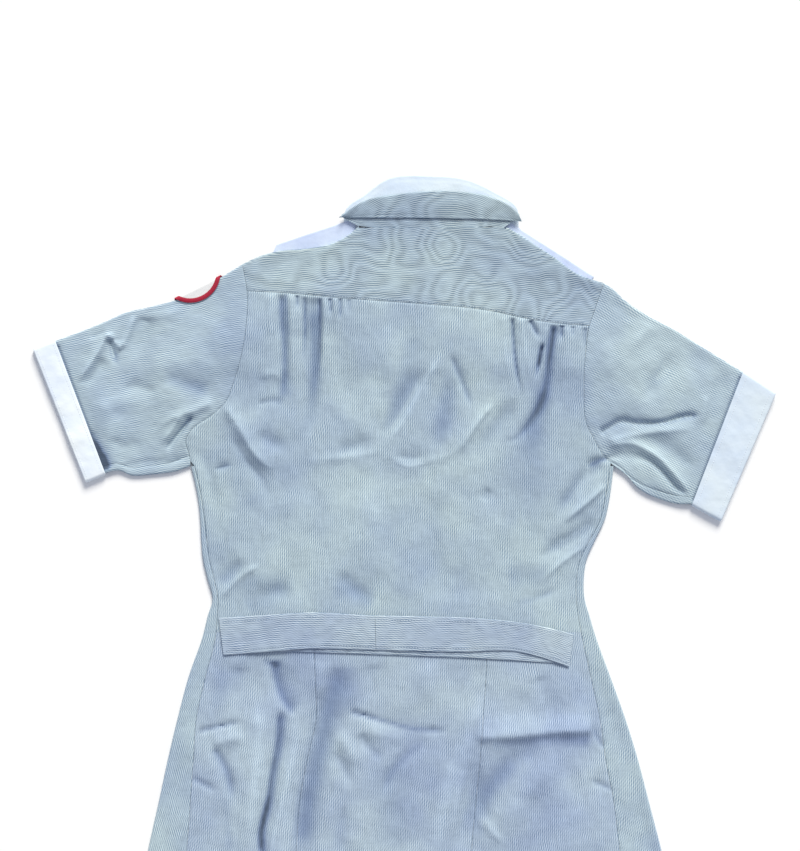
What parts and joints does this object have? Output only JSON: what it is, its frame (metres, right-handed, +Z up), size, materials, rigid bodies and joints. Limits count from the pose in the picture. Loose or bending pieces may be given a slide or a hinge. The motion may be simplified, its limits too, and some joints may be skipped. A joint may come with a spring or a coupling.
{
  "type": "nurse uniform dress",
  "caption": "Pinstriped nurse uniform dress laid flat on its front: back yoke, half belt, gored skirt, short sleeves with turned white cuffs, and a white collar.",
  "frame": {"origin": "centre of the bounding box, on the surface the dress lies on", "axes": "+Y from hem to neck, +Z up from the surface through the front to the back of the dress, +X towards the wearer's right"},
  "size_m": [0.7818, 1.1403, 0.0108],
  "materials": {
    "striped_cotton": "matte blue and white pinstriped cotton",
    "white_cotton": "matte white cotton",
    "badge_twill": "matte white twill with a red overlocked rim",
    "button_white": "smooth white plastic"
  },
  "bodies": {
    "root": {"yoke_back": "striped_cotton", "bodice_back": "striped_cotton", "skirt_back_left": "striped_cotton", "skirt_back_centre": "striped_cotton", "skirt_back_right": "striped_cotton", "bodice_front_left": "striped_cotton", "bodice_front_right": "striped_cotton", "skirt_front_left": "striped_cotton", "skirt_front_right": "striped_cotton", "sleeve_left": "striped_cotton", "sleeve_right": "striped_cotton", "cuff_left": "white_cotton", "cuff_right": "white_cotton", "collar_striped": "striped_cotton", "collar_white": "white_cotton", "strap_left": "white_cotton", "strap_right": "white_cotton", "belt_left": "striped_cotton", "belt_right": "striped_cotton", "belt_under": "striped_cotton", "badge_blank": "badge_twill", "button_01": "button_white", "button_02": "button_white", "button_03": "button_white", "button_04": "button_white", "button_05": "button_white", "button_06": "button_white", "button_07": "button_white", "button_08": "button_white", "button_09": "button_white", "button_10": "button_white"}
  },
  "joints": []
}
